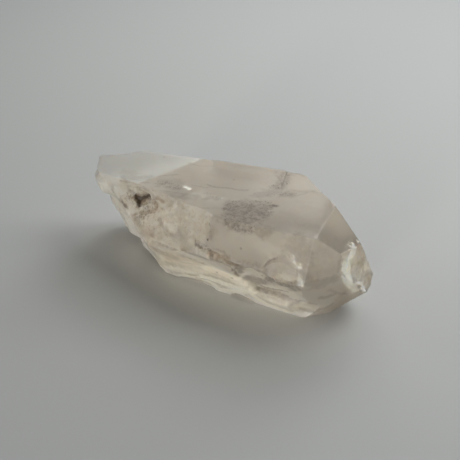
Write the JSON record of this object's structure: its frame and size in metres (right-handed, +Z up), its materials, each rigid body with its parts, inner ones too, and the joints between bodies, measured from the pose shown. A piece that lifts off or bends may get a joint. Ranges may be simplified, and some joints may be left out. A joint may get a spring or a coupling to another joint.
{
  "type": "quartz crystal",
  "caption": "Milky smoky-grey quartz crystal with flat prism and pyramid faces, a chipped tip and a rough broken root, lying on its side as a display mineral.",
  "frame": {"origin": "middle of the outline, on the surface that the crystal rests on", "axes": "+X along the growth axis to the tip, -Y the front flank with the broken shells, +Z up"},
  "size_m": [0.0778, 0.0364, 0.0261],
  "materials": {
    "quartz": "natural crystal faces, milky and veiled inside"
  },
  "bodies": {
    "root": {"quartz_crystal": "quartz"}
  },
  "joints": []
}
